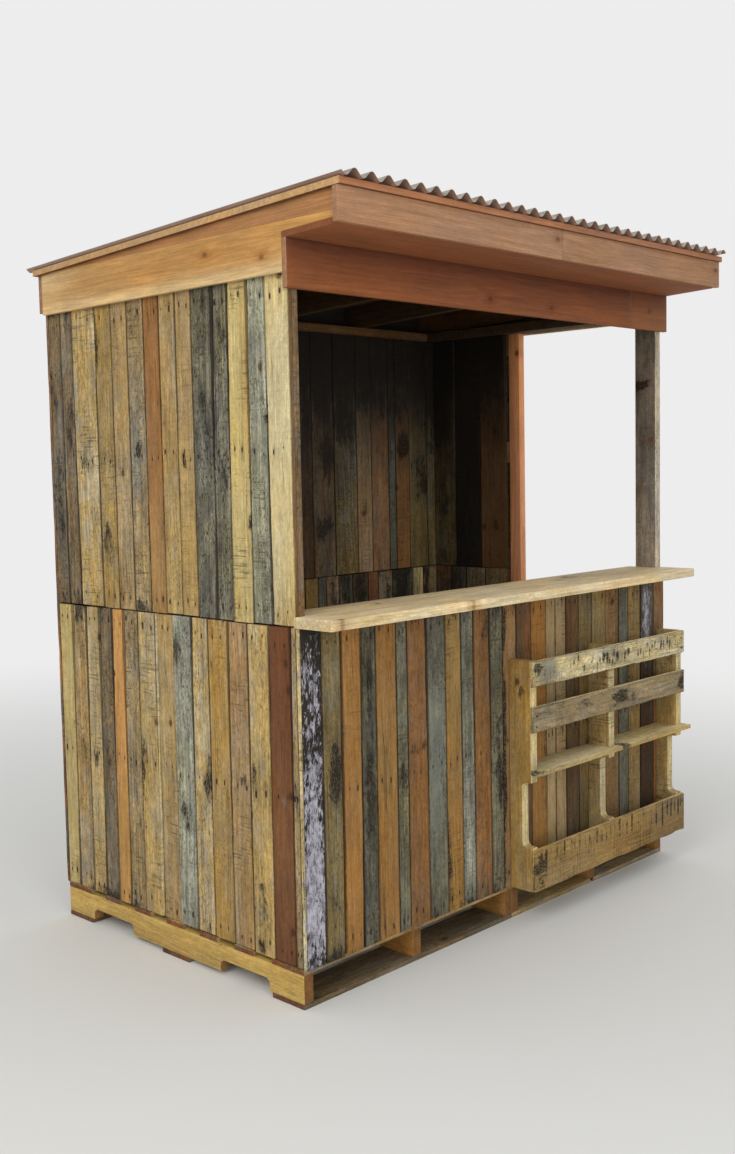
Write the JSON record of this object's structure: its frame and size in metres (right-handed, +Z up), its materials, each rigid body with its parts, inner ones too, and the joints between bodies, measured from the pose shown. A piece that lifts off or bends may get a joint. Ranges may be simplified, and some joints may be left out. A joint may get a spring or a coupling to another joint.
{
  "type": "street kiosk",
  "caption": "Street kiosk of reclaimed pallet boards: open serving hatch over a plank counter, side doorway, low lean-to roof of corrugated steel, slatted rack on the front.",
  "frame": {"origin": "on the ground, below the middle of the overall box", "axes": "+X along the counter, to the right of someone facing it; +Y from the counter to the back wall; +Z up"},
  "size_m": [2.1102, 1.5392, 2.3891],
  "materials": {
    "pallet_wood": "matte",
    "weathered_wood": "matte",
    "new_wood": "satin",
    "counter_wood": "satin",
    "post_wood": "matte",
    "steel_sheet": "satin"
  },
  "bodies": {
    "root": {"back_board": "new_wood", "back_wall_lining": "weathered_wood", "back_wall_lower_boards": "pallet_wood", "back_wall_rails": "weathered_wood", "back_wall_upper_boards": "pallet_wood", "base_bottom_boards_left": "pallet_wood", "base_bottom_boards_right": "pallet_wood", "base_stringer_1": "pallet_wood", "base_stringer_2": "pallet_wood", "base_stringer_3": "pallet_wood", "base_stringer_4": "pallet_wood", "base_stringer_5": "pallet_wood", "base_stringer_6": "pallet_wood", "counter": "counter_wood", "door_post": "post_wood", "floor_boards_left": "weathered_wood", "floor_boards_right": "weathered_wood", "front_beam": "new_wood", "front_fascia": "new_wood", "front_left_post": "post_wood", "front_right_post": "post_wood", "front_wall_left_boards": "weathered_wood", "front_wall_lining": "weathered_wood", "front_wall_rails": "weathered_wood", "front_wall_right_boards": "weathered_wood", "left_side_board": "new_wood", "left_side_wedge": "new_wood", "left_wall_lower_boards": "pallet_wood", "left_wall_rails": "post_wood", "left_wall_upper_boards": "pallet_wood", "rack_front_board": "pallet_wood", "rack_shelf": "pallet_wood", "rack_slats": "pallet_wood", "rack_stringer_left": "pallet_wood", "rack_stringer_middle": "pallet_wood", "rack_stringer_right": "pallet_wood", "rafters": "post_wood", "right_side_board": "new_wood", "right_side_wedge": "new_wood", "right_wall_lining": "weathered_wood", "right_wall_lower_boards": "pallet_wood", "right_wall_rails": "post_wood", "right_wall_upper_boards": "pallet_wood", "roof_deck": "new_wood", "roof_sheet": "steel_sheet", "soffit": "new_wood", "top_plates": "post_wood"}
  },
  "joints": []
}
